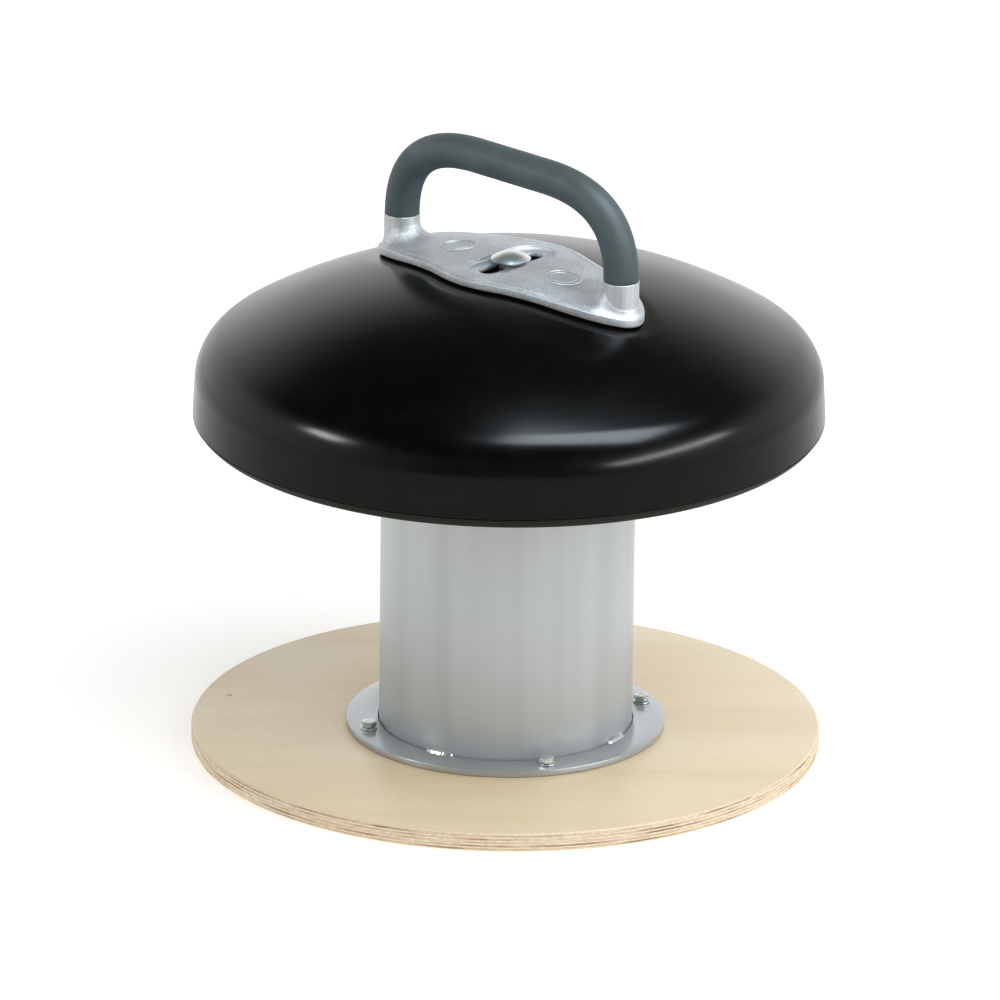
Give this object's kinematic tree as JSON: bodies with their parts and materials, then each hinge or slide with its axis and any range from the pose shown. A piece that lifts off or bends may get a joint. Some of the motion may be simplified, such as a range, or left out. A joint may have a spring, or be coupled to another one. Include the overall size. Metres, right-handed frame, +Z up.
{
  "type": "gymnastics mushroom trainer",
  "caption": "Gymnastics mushroom trainer: a padded black dome with a swivelling pommel, on a flanged steel column bolted to a round plywood base.",
  "frame": {"origin": "centre of the base at floor level", "axes": "+Z up along the column and the pommel's swivel axis, +X along the pommel's grip"},
  "size_m": [0.6, 0.6, 0.5947],
  "materials": {
    "floor_rubber": "matte black rubber",
    "birch_ply": "clear satin lacquer on pale birch plywood",
    "silver_powder_coat": "satin silver powder coat",
    "zinc_steel": "bright zinc plate",
    "black_skin": "smooth semi-gloss black skin",
    "padding_foam": "bonded foam",
    "moulded_core": "moulded beech veneer",
    "black_rubber": "matte black rubber",
    "cast_silver": "silver painted casting with a fine texture",
    "grip_rubber": "matte slate grey rubber"
  },
  "bodies": {
    "stand": {"floor_pad_1": "floor_rubber", "floor_pad_2": "floor_rubber", "floor_pad_3": "floor_rubber", "floor_pad_4": "floor_rubber", "floor_pad_5": "floor_rubber", "floor_pad_6": "floor_rubber", "base_board": "birch_ply", "head_board": "birch_ply", "column_tube": "silver_powder_coat", "bottom_flange": "silver_powder_coat", "top_flange": "silver_powder_coat", "base_weld_1": "silver_powder_coat", "base_weld_2": "silver_powder_coat", "base_weld_3": "silver_powder_coat", "base_weld_4": "silver_powder_coat", "head_weld_1": "silver_powder_coat", "head_weld_2": "silver_powder_coat", "head_weld_3": "silver_powder_coat", "head_weld_4": "silver_powder_coat", "base_bolt_1": "zinc_steel", "base_bolt_2": "zinc_steel", "base_bolt_3": "zinc_steel", "base_bolt_4": "zinc_steel", "base_washer_1": "zinc_steel", "base_washer_2": "zinc_steel", "base_washer_3": "zinc_steel", "base_washer_4": "zinc_steel", "base_tee_nut_1": "zinc_steel", "base_tee_nut_2": "zinc_steel", "base_tee_nut_3": "zinc_steel", "base_tee_nut_4": "zinc_steel", "head_bolt_1": "zinc_steel", "head_bolt_2": "zinc_steel", "head_bolt_3": "zinc_steel", "head_bolt_4": "zinc_steel", "head_washer_1": "zinc_steel", "head_washer_2": "zinc_steel", "head_washer_3": "zinc_steel", "head_washer_4": "zinc_steel", "head_tee_nut_1": "zinc_steel", "head_tee_nut_2": "zinc_steel", "head_tee_nut_3": "zinc_steel", "head_tee_nut_4": "zinc_steel", "guide_tube": "zinc_steel", "dome_cover": "black_skin", "foam_layer": "padding_foam", "core_shell": "moulded_core", "rim_trim": "black_rubber"},
    "pommel": {"pommel_base": "cast_silver", "pommel_pad": "black_rubber", "grip_core": "zinc_steel", "grip_sleeve": "grip_rubber", "grip_screw_1": "zinc_steel", "grip_screw_2": "zinc_steel", "carriage_bolt": "zinc_steel", "spacer_washer": "zinc_steel"},
    "clamp_carrier": {"clamp_washer": "zinc_steel"},
    "clamp_nut_body": {"clamp_nut": "zinc_steel"}
  },
  "joints": [
    {"name": "pommel_swivel", "type": "hinge", "parent": "stand", "child": "pommel", "pos_m": [0, 0, 0.48], "axis": [0, 0, 1], "continuous": true},
    {"name": "nut_travel", "type": "slide", "parent": "pommel", "child": "clamp_carrier", "axis": [0, 0, -1], "range_m": [0, 0.012]},
    {"name": "nut_turn", "type": "hinge", "parent": "clamp_carrier", "child": "clamp_nut_body", "pos_m": [0, 0, 0.309], "axis": [0, 0, -1], "range_deg": [0, 2160]}
  ],
  "couplings": [
    {"joint": "nut_turn", "follows": "nut_travel", "rad_per_m": 3141.6}
  ]
}
